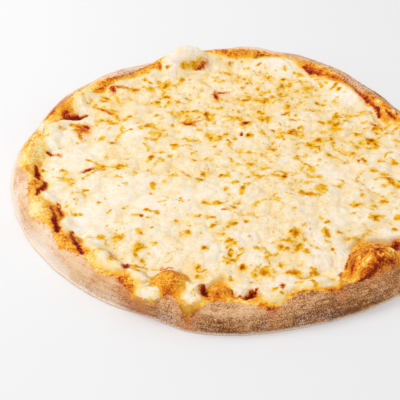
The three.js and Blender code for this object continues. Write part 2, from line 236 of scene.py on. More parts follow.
# Browned creases between lumps, as arcs: [x, y, radius, from angle, to angle, strength].
CREASES = [
    [-77, 24, 13, 95, 200, 0.8], [-88, 24, 33, 232, 285, 0.85], [-101, 84, 22, 250, 285, 0.9],
    [-37, 12, 9, 60, 150, 0.6], [28, 34, 9, 330, 60, 0.6], [33, -44, 12, 60, 130, 0.55],
    [-64, 122, 26, 280, 330, 0.6], [58, -2, 9, 150, 300, 0.8], [-92, -30, 18, 100, 165, 0.85],
    [10, 30, 16, 200, 280, 0.55], [-46, -10, 15, 120, 210, 0.6], [88, 32, 16, 200, 300, 0.6],
    [31, -91, 9, 40, 140, 0.7], [68, 60, 14, 60, 130, 0.6], [-40, 76, 18, 220, 300, 0.6],
    [104, -14, 16, 100, 190, 0.6], [4, -44, 12, 200, 300, 0.6], [-8, 96, 15, 230, 320, 0.6],
    [-52, -58, 18, 40, 110, 0.55], [120, 30, 14, 120, 200, 0.6], [0, 43, 12, 20, 120, 0.7],
    [24, -53, 14, 40, 150, 0.7], [95, -38, 12, 20, 120, 0.6], [-30, 132, 6.5, 240, 370, 0.3],
]
# Where sauce shows through the cheese: [x, y, half length, half width, turn, strength].
SAUCE_MARKS = [
    [-98, 88, 1.8, 3.2, 20, 0.6], [-93, 91, 3.4, 0.9, 10, 0.5], [-80, 90, 2, 1.2, 0, 0.55],
    [-15.5, 87.5, 1.5, 5, 10, 0.72], [-11, 93, 4, 1, 15, 0.5], [8, 52, 2.6, 1.8, 20, 0.9],
    [4.5, 38, 0.9, 1.9, -15, 1], [-36.5, 47.5, 4.4, 1.5, -28, 0.75], [-33, 49.5, 3.6, 0.8, 30, 0.4],
    [43, 42, 2, 1.1, 0, 0.6], [-103, 62, 4, 0.7, -20, 0.6], [-97, 59, 3, 0.6, -15, 0.5],
    [-106, -14, 4.4, 0.9, 25, 0.8], [-65, -60, 1.3, 0.8, 0, 1], [29, -127, 1.2, 1.2, 0, 0.9],
    [91, 9, 0.8, 1.8, 10, 0.5], [-8, -52, 1.6, 0.6, 0, 0.8], [108, 55, 2.4, 1.1, -40, 0.7],
    [-124, 82, 1.2, 0.7, 20, 0.6], [51, -31, 3.4, 0.6, -6, 0.5], [14, -89, 0.9, 0.8, 0, 0.6],
    [-64, -10, 0.8, 0.6, 0, 0.7], [-116, 34.5, 3.4, 3.4, 0, 0.42], [-113.5, 38.5, 3, 1.2, -20, 0.8],
    [-119, 38, 3, 1, -20, 0.6], [-117.5, 27, 0.8, 4, 20, 0.45],
]
# Dark red pockets of sauce along the rim: [angle, distance, half width] at both ends, and the strength.
SAUCE_STROKES = [
    [[155, 126.5, 1.2], [156.6, 133.5, 1.5], 1], [[156, 133.5, 1.3], [160.5, 138.5, 1.4], 0.9],
    [[157, 142, 1.4], [159.5, 140, 1.6], 0.7], [[160.5, 138.5, 0.9], [165, 144, 0.5], 0.6],
    [[177.4, 140, 0.9], [177.6, 136.5, 1.1], 1], [[177.8, 136, 0.6], [178.4, 129.5, 0.7], 0.4],
    [[186, 144.5, 0.9], [190.8, 143.5, 1.5], 1], [[191.5, 138.3, 0.9], [195.5, 142, 1.3], 1],
    [[195, 142.5, 1.1], [199, 147, 0.8], 1], [[202.5, 134, 0.8], [209.5, 136.5, 1.2], 0.85],
    [[203.5, 139.5, 0.8], [209.5, 141.5, 1.2], 0.8], [[209.8, 142, 1.2], [215, 146.2, 1.5], 1],
    [[217, 138, 0.8], [221, 142, 1.2], 0.8], [[220.5, 141.5, 1.3], [226.7, 146.5, 1.2], 1],
    [[238, 132, 0.7], [239.5, 139.5, 1.6], 0.9], [[261, 132, 0.8], [261.4, 136, 1.2], 1],
    [[247.5, 141.5, 0.4], [248.5, 135, 0.5], 0.45], [[248.5, 135, 0.5], [250.3, 130.5, 0.6], 0.5],
    [[250.3, 130.5, 0.6], [255, 127, 0.5], 0.5], [[261.3, 136, 1.3], [262.4, 142, 1.7], 1],
    [[267.5, 134.5, 0.5], [270, 139.5, 0.5], 0.75], [[270, 139.5, 0.5], [272.6, 140.4, 0.8], 0.8],
    [[272.8, 139.2, 1.2], [274.4, 135, 1.6], 1], [[274.4, 135, 1.6], [275.6, 130.4, 1.1], 1],
    [[231.5, 133, 0.5], [234, 136, 0.5], 0.3], [[320, 128.5, 0.9], [323, 131.5, 1.3], 0.9],
    [[323, 134.4, 1.9], [325.3, 133.4, 1.3], 1], [[302.5, 136.5, 0.6], [304, 133.5, 0.8], 0.75],
    [[304, 133.5, 0.8], [305.6, 130.5, 0.6], 0.65], [[303, 129.5, 0.5], [305.5, 125.5, 0.7], 0.8],
    [[309, 120.5, 0.6], [306.8, 123.5, 0.6], 0.7], [[299.5, 134.5, 0.6], [301.5, 131, 0.6], 0.6],
    [[282.3, 136, 0.5], [283.3, 128, 0.8], 0.7], [[318.8, 139, 1.2], [323, 134.6, 1.9], 1],
    [[105.6, 125.4, 0.5], [103.4, 126.8, 0.9], 0.6], [[103.4, 126.8, 0.9], [101, 129.6, 0.6], 0.65],
    [[101, 129.8, 0.6], [100, 131.6, 0.4], 0.3], [[31.6, 133, 1], [33.5, 134.9, 1], 0.9],
    [[34, 135, 0.8], [40.3, 136.4, 1.1], 0.85], [[40.3, 136.4, 1], [49, 139.4, 0.5], 0.6],
    [[66.8, 143.5, 0.7], [63.5, 141, 1.2], 0.9], [[63.5, 141, 1.1], [59, 139.3, 0.6], 0.8],
    [[66, 144.5, 0.7], [60, 142, 0.8], 0.5], [[58, 140.5, 0.6], [53, 139.5, 0.9], 0.5],
    [[34, 139, 0.5], [30.5, 142, 0.6], 0.7], [[30.5, 146, 0.6], [27.5, 142.5, 0.8], 0.6],
    [[31.5, 138, 0.6], [28.5, 138.6, 0.9], 0.85], [[28.3, 138.8, 0.8], [25.5, 139.2, 0.7], 0.7],
    [[246.5, 121.5, 0.6], [249, 119.5, 0.6], 0.5], [[0, 138, 1.4], [8, 137, 1], 0.8],
    [[342, 137, 1.2], [348, 138, 1.5], 0.9],
]
SAUCE_STROKE_STEP = 0.9
# Each mark is a cone that falls to nothing at CONE_RADII of its radii. A red one goes on down from there.
CONE_RADII = 1.5
RED_REACH = 3
CREASE_STEP = 1.2
# The small browned marks are scattered by seeded random draws.
SPOT_COUNT = 420
FAINT_SPOT_COUNT = 1500
STROKE_COUNT = 135
SPOT_TURN = 40
# Smooth parts of the cheese with few spots: [x, y, radius].
PLAIN_CHEESE = [
    [-76, 38, 11], [39, 127, 15], [93, 97, 17], [76, -94, 14], [-70, -40, 26], [-100, -70, 20],
    [-118, 50, 12], [-110, 8, 16], [70, -5, 9], [-35, -40, 12], [100, -20, 10], [-40, -112, 10],
    [-45, 128, 15], [97, 82, 9], [-37, 134, 11],
]

FILM_THICKNESS = 0.35
# The dough's underside, whose points lie below a height, and a depth far outside film and cheese for it.
UNDERSIDE_TOP = 1
UNDERSIDE_BROWNING = 0.42
UNDERSIDE_FLOUR = 0.3
BARE_DEPTH = -20
LOBE_HEIGHT = 1.7
SMALL_LUMP_CELL = 8.5
FINE_LUMP_CELL = 4.2
# Thicker cheese inside the rim at the back left: its side of the pizza, its distance and its width.
SLOPE_FILL = 1.6
SLOPE_FILL_SIDE = [[132, 1, 26]]
SLOPE_FILL_DISTANCE = 124
SLOPE_FILL_WIDTH = 11
# Where the edge of the white cheese is full and steep, not thin: [angle, amount, half width in degrees].
FULL_EDGE = [[255, 1, 32], [45, 0.4, 25], [290, 0.4, 15]]
# The ball of cheese at the back: [x, y, half length, half width, turn], and its height.
CHEESE_BALL = [-39, 130, 19, 10, 4]
BALL_HEIGHT = 3.2
BALL_REACH = 30
DOME_FULLNESS = 0.8
# Mounds of baked sauce and cheese: [angle, distance, half length, half width, height, how stranded].
BAKED_MOUNDS = [[312, 132, 24, 18, 5, 1], [252.5, 131, 14, 12, 3.2, 0.3], [265.5, 130, 10, 10, 2, 0.3]]
# How the layers meet, in mm: the cheese rises from its edge over a width, the upper layers lie a hair
# over the rim where they end, and what is covered reaches down into the layer below.
CHEESE_EDGE_SLOPE = 6
CHEESE_THINNEST = 0.2
CHEESE_LIFT = 0.12
CHEESE_SINK = 0.05
SAUCE_PULP = 0.3
SAUCE_LIFT = 0.06
SAUCE_DIP = 0.6
SAUCE_SINK = 1.8
SAUCE_OVERLAP = 0.9
DOUGH_SINK = 0.7
HIDDEN_DOUGH = 7

# ---- How finely the meshes are divided ----
RASTER_STEP = 0.5
RASTER_HALF = 164
CHEESE_CELLS = 300
RIM_COLUMNS = 1320
RIM_WALL_ROWS = 30
RIM_SLOPE_ROWS = 30
SAUCE_COLUMNS = 1000
SAUCE_ROWS = 22

# ---- The camera, which looks as the photograph does ----
PHOTO_SIDE = 400
FOCAL_PIXELS = 1000
ELEVATION = math.radians(39.90)
ROLL = math.radians(2.09)
CAMERA_DISTANCE = 0.741
ORIGIN_PIXEL = (234.82, 176.87)
SENSOR_WIDTH = 36

# ---- The studio, in metres and watts ----
TABLE_SIDE = 6.0
LAMP_PLACE = (-0.88, 0.22, 1.02)
LAMP_SIZE = 0.6
LAMP_POWER = 7.6
BRIGHT_SKY_DIRECTION = (0.04, -0.27, 1)
BRIGHT_SKY = 1.02
DARK_SKY = 0.42


# ---- Numbers for shapes ----
def smoothstep(value, low, high):
    share = np.clip((value - low) / (high - low), 0, 1)
    return share * share * (3 - 2 * share)


def mix(a, b, share):
    return a + (b - a) * share


def waves(rows, angle):
    return sum(height * np.cos(count * (angle - math.radians(crest))) for count, height, crest in rows)


def bumps(rows, angle):
    total = np.zeros_like(angle)
    for centre, size, half_width in rows:
        away = (np.degrees(angle) - centre + 180) % 360 - 180
        total += size * np.exp(-((away / half_width) ** 2))
    return total


def noise(x, y, z, cell, seed):
    """Smooth noise from 0 to 1 in lumps about `cell` mm across."""
    side = 64
    table = np.random.default_rng(seed).random((side, side, side))
    result = 0
    parts = []
    for value in (x, y, z):
        scaled = np.asarray(value, float) / cell + 1000.5
        low = np.floor(scaled).astype(int)
        share = scaled - low
        parts.append((low, share * share * (3 - 2 * share)))
    for corner in range(8):
        weight = 1
        index = []
        for bit, (low, share) in enumerate(parts):
            upper = corner >> bit & 1
            weight = weight * (share if upper else 1 - share)
            index.append((low + upper) % side)
        result = result + weight * table[index[0], index[1], index[2]]
    return result


def layered_noise(x, y, z, cell, seed, layers=3):
    """Noise from about -1 to 1 with finer and weaker layers."""
    total = 0
    strength = 1
    for layer in range(layers):
        total = total + strength * (2 * noise(x, y, z, cell / 2**layer, seed + layer) - 1)
        strength *= 0.5
    return total / 1.3


def scatter(index, salt):
    value = np.sin(index * 12.9898 + salt * 78.233) * 43758.5453
    return value - np.floor(value)


def distance_and_angle(x, y):
    return np.hypot(x, y), np.arctan2(y, x)


def flat_place(distance, angle):
    """x and y of places given by distances from the middle and angles in radians."""
    return distance * np.cos(angle), distance * np.sin(angle)


def polar_place(angle, distance):
    """x and y of one place given by an angle in degrees and a distance from the middle."""
    return distance * math.cos(math.radians(angle)), distance * math.sin(math.radians(angle))


# ---- The CAD's shapes ----
def outer_radius(angle):
    return OUTER_RADIUS + waves(OUTLINE_WAVES, angle)


def crown_height(angle):
    return RIM_HEIGHT + waves(CROWN_WAVES, angle)


def cheese_radius(angle):
    edge = CHEESE_EDGE_RADIUS + bumps(CHEESE_LOBES, angle) + bumps(CHEESE_BAYS, angle)
    return edge + bumps(EDGE_TRIM, angle)


def sauce_radius(angle):
    return cheese_radius(angle) + SAUCE_MARGIN + bumps(SAUCE_POCKETS, angle)


def bubble_height(x, y):
    total = np.zeros_like(x)
    for angle, out, radius, height in DOUGH_BUBBLES:
        centre_x, centre_y = polar_place(angle, out)
        away = np.clip(np.hypot(x - centre_x, y - centre_y) / radius, 0, 1)
        total += height * (1 - away * away) ** BUBBLE_FULLNESS
    return total


def dough_top(distance, angle):
    wall = outer_radius(angle) - LIP_WIDTH
    crown = outer_radius(angle) - CROWN_INSET
    foot = outer_radius(angle) - RIM_WIDTH + waves(SLOPE_WAVES, angle)
    bubble = bubble_height(*flat_place(distance, angle))
    out = np.clip((distance - crown) / (wall - crown), 0, 1)
    rise = (1 - out**WALL_ROUNDNESS) ** (1 / WALL_ROUNDNESS)
    outside = LIP_HEIGHT + (crown_height(angle) - LIP_HEIGHT + bubble) * rise
    inside = mix(BASE_THICKNESS, crown_height(angle), smoothstep(distance, foot, crown)) + bubble
    return np.where(distance > crown, outside, inside)


# ---- Meshes ----
def add_to_scene(thing):
    bpy.context.scene.collection.objects.link(thing)
    return thing


def make_mesh(name, points, faces):
    """A smooth mesh piece from points in mm and a list of arrays of faces."""
    mesh = bpy.data.meshes.new(name)
    corners = np.concatenate([part.reshape(-1) for part in faces])
    sizes = np.concatenate([np.full(len(part), part.shape[1]) for part in faces])
    mesh.vertices.add(len(points))
    mesh.vertices.foreach_set("co", (points * MM).astype(np.float32).ravel())
    mesh.loops.add(len(corners))
    mesh.loops.foreach_set("vertex_index", corners.astype(np.int32))
    mesh.polygons.add(len(sizes))
    starts = np.concatenate([[0], np.cumsum(sizes)[:-1]])
    mesh.polygons.foreach_set("loop_start", starts.astype(np.int32))
    mesh.update(calc_edges=True)
    mesh.validate()
    mesh.shade_smooth()
    return add_to_scene(bpy.data.objects.new(name, mesh))


def paint(piece, name, values):
    """Stores one number for each vertex, which the material reads by name."""
    attribute = piece.data.attributes.new(name, "FLOAT", "POINT")
    attribute.data.foreach_set("value", np.ascontiguousarray(values, dtype=np.float32).ravel())


def ringed_faces(count, rings):
    """Faces of a closed surface through rings of `count` points each."""
    here = np.arange(count)
    following = (here + 1) % count
    fan = np.arange(1, count - 1)
    faces = [np.stack([np.zeros_like(fan), fan + 1, fan], axis=1)]
    for ring in range(1, rings):
        low = (ring - 1) * count
        high = ring * count
        faces.append(np.stack([low + here, low + following, high + following, high + here], axis=1))
    last = (rings - 1) * count
    faces.append(np.stack([np.full_like(fan, last), last + fan, last + fan + 1], axis=1))
    return faces


def ring_angles(count):
    return np.linspace(0, 2 * math.pi, count, endpoint=False)


def polar_points(distance, angle, height):
    return np.stack([*flat_place(distance, angle), height], axis=-1)


# ---- A square grid seen from above, which holds the toppings' relief, browning and red sauce ----
raster_line = np.arange(-RASTER_HALF, RASTER_HALF + RASTER_STEP / 2, RASTER_STEP)
GRID_X, GRID_Y = np.meshgrid(raster_line, raster_line, indexing="ij")
GRID_DISTANCE, GRID_ANGLE = distance_and_angle(GRID_X, GRID_Y)


def grid_noise(cell, seed, layers=3):
    return layered_noise(GRID_X, GRID_Y, 0, cell, seed, layers)


def sample(field, x, y):
    """The grid's values at any places, blended between its points."""
    u = np.clip((x + RASTER_HALF) / RASTER_STEP, 0, len(raster_line) - 1.001)
    v = np.clip((y + RASTER_HALF) / RASTER_STEP, 0, len(raster_line) - 1.001)
    i = u.astype(int)
    j = v.astype(int)
    fu = u - i
    fv = v - j
    low = field[i, j] * (1 - fv) + field[i, j + 1] * fv
    high = field[i + 1, j] * (1 - fv) + field[i + 1, j + 1] * fv
    return low * (1 - fu) + high * fu


def warp(field, amount, cell, seed):
    """Bends a grid's shapes by up to `amount` mm, in waves about `cell` mm long."""
    x = GRID_X + amount * grid_noise(cell, seed)
    y = GRID_Y + amount * grid_noise(cell, seed + 50)
    return sample(field, x, y)


def blur(field, radius):
    """Gaussian blur of a grid by `radius` mm."""
    frequency = np.fft.fftfreq(len(field), RASTER_STEP)
    falloff = np.exp(-2 * (math.pi * radius * frequency) ** 2)
    spectrum = np.fft.fft2(field) * falloff[:, None] * falloff[None, :]
    return np.fft.ifft2(spectrum).real


def ellipse_share(x, y, half_length, half_width, turn, reach):
    """The part of the grid near an ellipse, and each place's distance from its centre in its radii."""
    i0, i1 = np.searchsorted(raster_line, [x - reach, x + reach])
    j0, j1 = np.searchsorted(raster_line, [y - reach, y + reach])
    dx = GRID_X[i0:i1, j0:j1] - x
    dy = GRID_Y[i0:i1, j0:j1] - y
    cosine = math.cos(math.radians(turn))
    sine = math.sin(math.radians(turn))
    along = (dx * cosine + dy * sine) / half_length
    across = (dy * cosine - dx * sine) / half_width
    return (slice(i0, i1), slice(j0, j1)), np.hypot(along, across)


def rim_ellipse(angle, distance, half_length, half_width, radii=2.2):
    """The same for an ellipse whose length runs round the pizza, out to `radii` of its larger radius."""
    x, y = polar_place(angle, distance)
    return ellipse_share(x, y, half_length, half_width, angle - 90, radii * max(half_length, half_width))


def stamp(field, x, y, half_length, half_width, turn, strength, reach=CONE_RADII):
    """Raises a grid to at least an elliptic cone at one place, out to `reach` times its half length."""
    reach_mm = reach * max(half_length, half_width) + RASTER_STEP
    window, away = ellipse_share(x, y, half_length, half_width, turn, reach_mm)
    np.maximum(field[window], strength - strength * away / CONE_RADII, out=field[window])


def lump_rows():
    rows = []
    for i in range(LUMP_COUNT):
        out = LUMP_FIELD_RADIUS * math.sqrt((i + 0.5) / LUMP_COUNT)
        angle = i * SUNFLOWER_ANGLE
        radius = LUMP_RADIUS + LUMP_RADIUS_SPREAD * float(scatter(i, 1))
        height = LUMP_HEIGHT + LUMP_HEIGHT_SPREAD * float(scatter(i, 2))
        rows.append([out * math.cos(angle), out * math.sin(angle), radius, height])
    return rows + CHEESE_PILLOWS


def lump_field():
    """The CAD's lumps, with edges bent by noise so that none is a true circle."""
    x = GRID_X + LUMP_BEND * grid_noise(14, 21)
    y = GRID_Y + LUMP_BEND * grid_noise(14, 31)
    highest = np.zeros_like(GRID_X)
    for cx, cy, radius, height in lump_rows():
        away = ((x - cx) ** 2 + (y - cy) ** 2) / radius**2
        highest = np.maximum(highest, height * (1 - away))
    return highest


def cell_fields(size, seed):
    """Distances to the nearest and second nearest of scattered points, one for each `size` mm cell."""
    draw = np.random.default_rng(seed)
    count = int(2 * RASTER_HALF / size) + 4
    jitter_x = draw.random((count, count))
    jitter_y = draw.random((count, count))
    u = (GRID_X + RASTER_HALF) / size + 1
    v = (GRID_Y + RASTER_HALF) / size + 1
    i = u.astype(int)
    j = v.astype(int)
    nearest = np.full_like(GRID_X, 9.0)
    second = np.full_like(GRID_X, 9.0)
    for di in (-1, 0, 1):
        for dj in (-1, 0, 1):
            a = np.clip(i + di, 0, count - 1)
            b = np.clip(j + dj, 0, count - 1)
            away = np.hypot(a + jitter_x[a, b] - u, b + jitter_y[a, b] - v)
            second = np.minimum(second, np.maximum(nearest, away))
            nearest = np.minimum(nearest, away)
    return nearest * size, second * size


def plain_field():
    """1 where the cheese is smooth and pale, 0 elsewhere."""
    plain = np.zeros_like(GRID_X)
    for x, y, radius in PLAIN_CHEESE:
        away = np.hypot(GRID_X - x, GRID_Y - y)
        plain = np.maximum(plain, 1 - smoothstep(away, 0.55 * radius, 1.1 * radius))
    return warp(plain, 4, 12, 41)


def spot_density(plain):
    """How many browned spots there are at each place, from 0 to 1."""
    density = 0.58 + 0.7 * grid_noise(24, 51)
    density += 0.25 * smoothstep(GRID_Y, -60, 90) + 0.1 * smoothstep(GRID_X, -40, 40)
    density *= 1 - 0.3 * smoothstep(GRID_DISTANCE, 122, 138)
    return np.clip(density * (1 - 0.8 * plain), 0, 1)


def stroke_stamps(field, draw, x, y, steps, width, strength):
    """A crooked line of overlapping stamps, thinner towards its ends."""
    heading = draw.normal(0.1, 1.1)
    curl = draw.normal(0, 0.16)
    for step in range(steps):
        middle = math.sin(math.pi * (step + 0.7) / (steps + 0.4))
        half_length = 1.15 * width * (0.55 + 0.45 * middle)
        half_width = width * (0.4 + 0.6 * middle)
        stamp(field, x, y, half_length, half_width, math.degrees(heading), strength)
        x += math.cos(heading)
        y += math.sin(heading)
        heading += curl + draw.normal(0, 0.22)


def random_spots(toast, density):
    """Small browned spots and crooked strokes, more of them where the density is high."""
    draw = np.random.default_rng(SEED)

    def place():
        while True:
            out = LUMP_FIELD_RADIUS * math.sqrt(draw.random())
            angle = 2 * math.pi * draw.random()
            x = out * math.cos(angle)
            y = out * math.sin(angle)
            if draw.random() < 0.04 + 0.96 * sample(density, np.array(x), np.array(y)):
                return x, y

    def between(low, high, power=1):
        """A random number, the more often near the low one the higher the power."""
        return mix(low, high, draw.random() ** power)

    for _ in range(FAINT_SPOT_COUNT):
        x, y = place()
        half = between(0.7, 1.6, 1.5)
        half_width = half * between(0.5, 1)
        turn = draw.normal(0, SPOT_TURN)
        stamp(toast, x, y, half, half_width, turn, between(0.3, 0.6))
    for _ in range(SPOT_COUNT):
        x, y = place()
        half = between(1.25, 3.0, 1.8)
        strength = between(0.42, 1.05, 1.3)
        for _ in range(draw.integers(2, 6)):
            half_width = half * between(0.55, 1)
            stamp(toast, x, y, half, half_width, draw.normal(0, SPOT_TURN), strength)
            x += draw.normal(0, 0.9 * half)
            y += draw.normal(0, 0.7 * half)
            half *= between(0.5, 0.9)
    for _ in range(STROKE_COUNT):
        x, y = place()
        width = between(0.6, 1.2)
        steps = draw.integers(3, 13)
        stroke_stamps(toast, draw, x, y, steps, width, between(0.45, 0.95))


def patch_stamps(toast, draw, x, y, half_length, half_width, turn, strength):
    """A browned patch as a crowd of spots, closest and darkest in its middle."""
    area = half_length * half_width
    cosine = math.cos(math.radians(turn))
    sine = math.sin(math.radians(turn))
    stamp(toast, x, y, 0.6 * half_length, 0.6 * half_width, turn, strength)
    for _ in range(3 + int(0.55 * area)):
        out = draw.random() ** 0.7
        angle = 2 * math.pi * draw.random()
        along = out * half_length * math.cos(angle)
        across = out * half_width * math.sin(angle)
        half = mix(0.8, 1.9, draw.random()) * (1.15 - 0.5 * out)
        spot_x = x + along * cosine - across * sine
        spot_y = y + along * sine + across * cosine
        level = strength * mix(0.65, 1.1, draw.random())
        slim = mix(0.5, 1, draw.random())
        stamp(toast, spot_x, spot_y, half, half * slim, draw.normal(0, SPOT_TURN), level)


def crease_stamps(toast, x, y, radius, start, end, strength):
    """A browned crease as an arc of small stamps."""
    span = (end - start) % 360
    steps = max(3, int(radius * math.radians(span) / CREASE_STEP))
    for step in range(steps):
        fade = 0.7 + 0.3 * math.sin(2.4 * step + x)
        away_x, away_y = polar_place(start + span * step / (steps - 1), radius)
        stamp(toast, x + away_x, y + away_y, 1.4, 1.1, 0, strength * fade)


def toast_field(density, crease):
    """How browned the cheese is at each place, from 0 to about 1."""
    toast = np.zeros_like(GRID_X)
    random_spots(toast, density)
    window, away = ellipse_share(*CHEESE_BALL, BALL_REACH)
    toast[window] *= smoothstep(away, 0.8, 1.1)
    draw = np.random.default_rng(SEED + 1)
    for patch in PATCHES:
        patch_stamps(toast, draw, *patch)
    for arc in CREASES:
        crease_stamps(toast, *arc)
    line_places = smoothstep(grid_noise(17, 61), -0.05, 0.4) * density
    toast = np.maximum(toast, 0.42 * crease * line_places)
    uneven = 0.34 * grid_noise(2.2, 62, 2) + 0.2 * grid_noise(5, 64, 2)
    toast += uneven * smoothstep(toast, 0.05, 0.4)
    return warp(warp(toast, 1.3, 6, 63), 0.7, 2.0, 65)


def red_field():
    """Where red sauce shows: up to 1 in the middle of a mark, below 0 outside it and -1 away from all."""
    red = np.full_like(GRID_X, -1.0)
    for *ellipse, strength in SAUCE_MARKS:
        stamp(red, *ellipse, strength, RED_REACH)
    for number, (start, end, strength) in enumerate(SAUCE_STROKES):
        start_x, start_y = polar_place(start[0], start[1])
        end_x, end_y = polar_place(end[0], end[1])
        steps = 1 + int(math.hypot(end_x - start_x, end_y - start_y) / SAUCE_STROKE_STEP)
        for step in range(steps + 1):
            share = step / steps
            index = 60 * number + step
            uneven = scatter(index, 3) - 0.5
            half = mix(start[2], end[2], share) * (1 + 0.6 * uneven)
            x = mix(start_x, end_x, share) + 1.1 * half * (scatter(index, 4) - 0.5)
            y = mix(start_y, end_y, share) + 1.1 * half * (scatter(index, 5) - 0.5)
            level = strength * (1 - 0.3 * abs(uneven))
            stamp(red, x, y, 1.2 * half, half, 360 * uneven, level, RED_REACH)
    return warp(warp(red, 0.9, 3, 67), 0.5, 1.5, 69)


def film_tint_field():
    """How red the gold film is, from below 0 for the palest to above 1 for scorched red-brown; a few pale
    places are painted highlights.
    """
    tint = 0.31 + 0.3 * grid_noise(8, 76) + 0.22 * grid_noise(3, 77)
    for *ellipse, change in FILM_TINTS_AND_HIGHLIGHTS:
        window, away = rim_ellipse(*ellipse, 2.4)
        tint[window] += change * np.exp(-(away**2))
    return warp(tint, 1.2, 5, 78)


def white_depth_field():
    """How far each place is inside the white cheese, in mm; below 0 in the gold film round it."""
    depth = cheese_radius(GRID_ANGLE) + bumps(WHITE_EDGE, GRID_ANGLE) - WHITE_INSET - GRID_DISTANCE
    for angle, distance, half_length, half_width in FILM_HOLES:
        window, away = rim_ellipse(angle, distance, half_length, half_width)
        hole = (away - 1) * min(half_length, half_width)
        np.minimum(depth[window], hole, out=depth[window])
    for *ellipse, middle_depth in WHITE_LOBES:
        window, away = rim_ellipse(*ellipse)
        np.maximum(depth[window], (1 - away) * middle_depth, out=depth[window])
    return warp(warp(depth, 1.6, 8, 73), 0.8, 2.6, 75)


def roundness(depth, width):
    """Rises from 0 to 1 over `width` mm like a quarter of a circle."""
    share = np.clip(depth / width, 0, 1)
    return np.sqrt(1 - (1 - share) ** 2)


def small_lumps():
    """The cheese's small lumps, the creases between them, and the relief of both with grain, in mm."""
    nearest, second = cell_fields(SMALL_LUMP_CELL, 11)
    fine_nearest, fine_second = cell_fields(FINE_LUMP_CELL, 12)
    crease = np.exp(-(((second - nearest) / 0.9) ** 2))
    fine_crease = np.exp(-(((fine_second - fine_nearest) / 0.7) ** 2))
    where_fine = smoothstep(grid_noise(30, 71), -0.35, 0.4)
    lumps = np.clip(1 - (nearest / 6.5) ** 2, 0, 1)
    lumps += 0.35 * where_fine * np.clip(1 - (fine_nearest / 3.2) ** 2, 0, 1)
    grain = 0.16 * grid_noise(3.2, 81)
    return lumps, crease, lumps - 0.36 * crease - 0.14 * where_fine * fine_crease + grain


def slope_fill():
    """Extra cheese where it lies thick against the inside of the rim, in mm."""
    away = (GRID_DISTANCE - SLOPE_FILL_DISTANCE) / SLOPE_FILL_WIDTH
    return SLOPE_FILL * bumps(SLOPE_FILL_SIDE, GRID_ANGLE) * np.exp(-(away**2))


def add_ball(full, lumps):
    """Puts the ball of cheese at the back into the full cheese's thickness."""
    window, away = ellipse_share(*CHEESE_BALL, BALL_REACH)
    ball = CHEESE_THIN + BALL_HEIGHT * np.clip(1 - away**2, 0, 1) ** DOME_FULLNESS
    ball -= 0.5 * np.exp(-(((away - 1.12) / 0.14) ** 2))
    ball += 0.9 * lumps[window] + 0.9 * grid_noise(6, 83)[window]
    full[window] = mix(full[window], ball, 1 - smoothstep(away, 1.0, 1.45))


def film_relief():
    """Thickness of the gold film with its baked mounds, in mm, and what their strands add to its tint."""
    dome = np.zeros_like(GRID_X)
    knobs = np.zeros_like(GRID_X)
    for *ellipse, height, stranded in BAKED_MOUNDS:
        window, away = rim_ellipse(*ellipse)
        dome[window] += height * np.clip(1 - away**2, 0, 1) ** DOME_FULLNESS
        knobs[window] = np.maximum(knobs[window], stranded * (1 - smoothstep(away, 0.6, 1.1)))
    curls = np.exp(-((np.sin(6 * grid_noise(10, 84)) / 0.45) ** 2))
    lumpy = grid_noise(4, 88, 2)
    strands = knobs * (0.8 * curls + 0.5 * lumpy)
    thickness = FILM_THICKNESS + dome + 0.3 * grid_noise(2.6, 85) + strands
    return thickness, knobs * (0.3 - 0.5 * curls - 0.15 * lumpy)


class ToppingFields:
    """Everything about the toppings that depends on the place seen from above."""

    def __init__(self):
        plain = plain_field()
        density = spot_density(plain)
        broad = lump_field()
        small, crease, small_relief = small_lumps()
        self.film_thickness, strand_tint = film_relief()
        self.tint = film_tint_field() + strand_tint
        self.red = red_field()
        self.white_depth = white_depth_field()
        self.toast = toast_field(density, crease)

        full = CHEESE_THIN + slope_fill() + broad + (1 - 0.7 * plain) * small_relief
        add_ball(full, small)
        edge_fullness = np.clip(bumps(FULL_EDGE, GRID_ANGLE), 0, 1)
        white = roundness(self.white_depth, mix(15, 6.5, edge_fullness))
        blister = smoothstep(self.toast, 0.25, 0.8)
        self.thickness = mix(self.film_thickness, full, white) + 0.3 * blur(blister, 0.8)
        self.thickness -= smoothstep(self.red, 0.1, 0.7)
        self.lobe = LOBE_HEIGHT * mix(0.3, 1, edge_fullness) * roundness(self.white_depth, 3.2)

        self.warmth = 0.45 + 0.35 * grid_noise(22, 91) + 0.2 * smoothstep(GRID_Y, -40, 130)
        self.warmth += 1.5 * blur(smoothstep(self.toast, 0.1, 0.6), 1.4) - 0.2 * plain
        self.warmth -= 0.3 * smoothstep(GRID_DISTANCE, 118, 136)
        above = blur(broad + small, 1.2) - blur(broad + small, 5)
        self.hollow = np.clip(0.5 - above, 0, 1)

    def paint_on(self, piece, points):
        """Gives a piece the numbers that the colours of the toppings need."""
        x, y, z = points.T
        distance, angle = distance_and_angle(x, y)
        for name in ("toast", "red", "warmth", "hollow", "tint"):
            paint(piece, name, sample(getattr(self, name), x, y))
        underside = z < UNDERSIDE_TOP
        paint(piece, "white_depth", np.where(underside, BARE_DEPTH, sample(self.white_depth, x, y)))
        film_edge = FILM_EDGE_RADIUS + bumps(FILM_EDGE, angle)
        ragged = 1.6 * layered_noise(x, y, 0, 7, 131) + 0.8 * layered_noise(x, y, 0, 2.2, 141, 2)
        paint(piece, "film_depth", np.where(underside, BARE_DEPTH, film_edge + ragged - distance))


toppings = ToppingFields()


# ---- The three layers ----
def concentric_grid(cells):
    """A square grid bent into a disc: distance from 0 to 1, and angle."""
    line = np.linspace(-1, 1, cells + 1)
    a, b = np.meshgrid(line, line, indexing="ij")
    wide = np.abs(a) > np.abs(b)
    safe_a = np.where(a == 0, 1, a)
    safe_b = np.where(b == 0, 1, b)
    distance = np.where(wide, a, b)
    angle = np.where(wide, (math.pi / 4) * (b / safe_a), math.pi / 2 - (math.pi / 4) * (a / safe_b))
    angle = np.where(distance < 0, angle + math.pi, angle)
    return np.abs(distance), angle


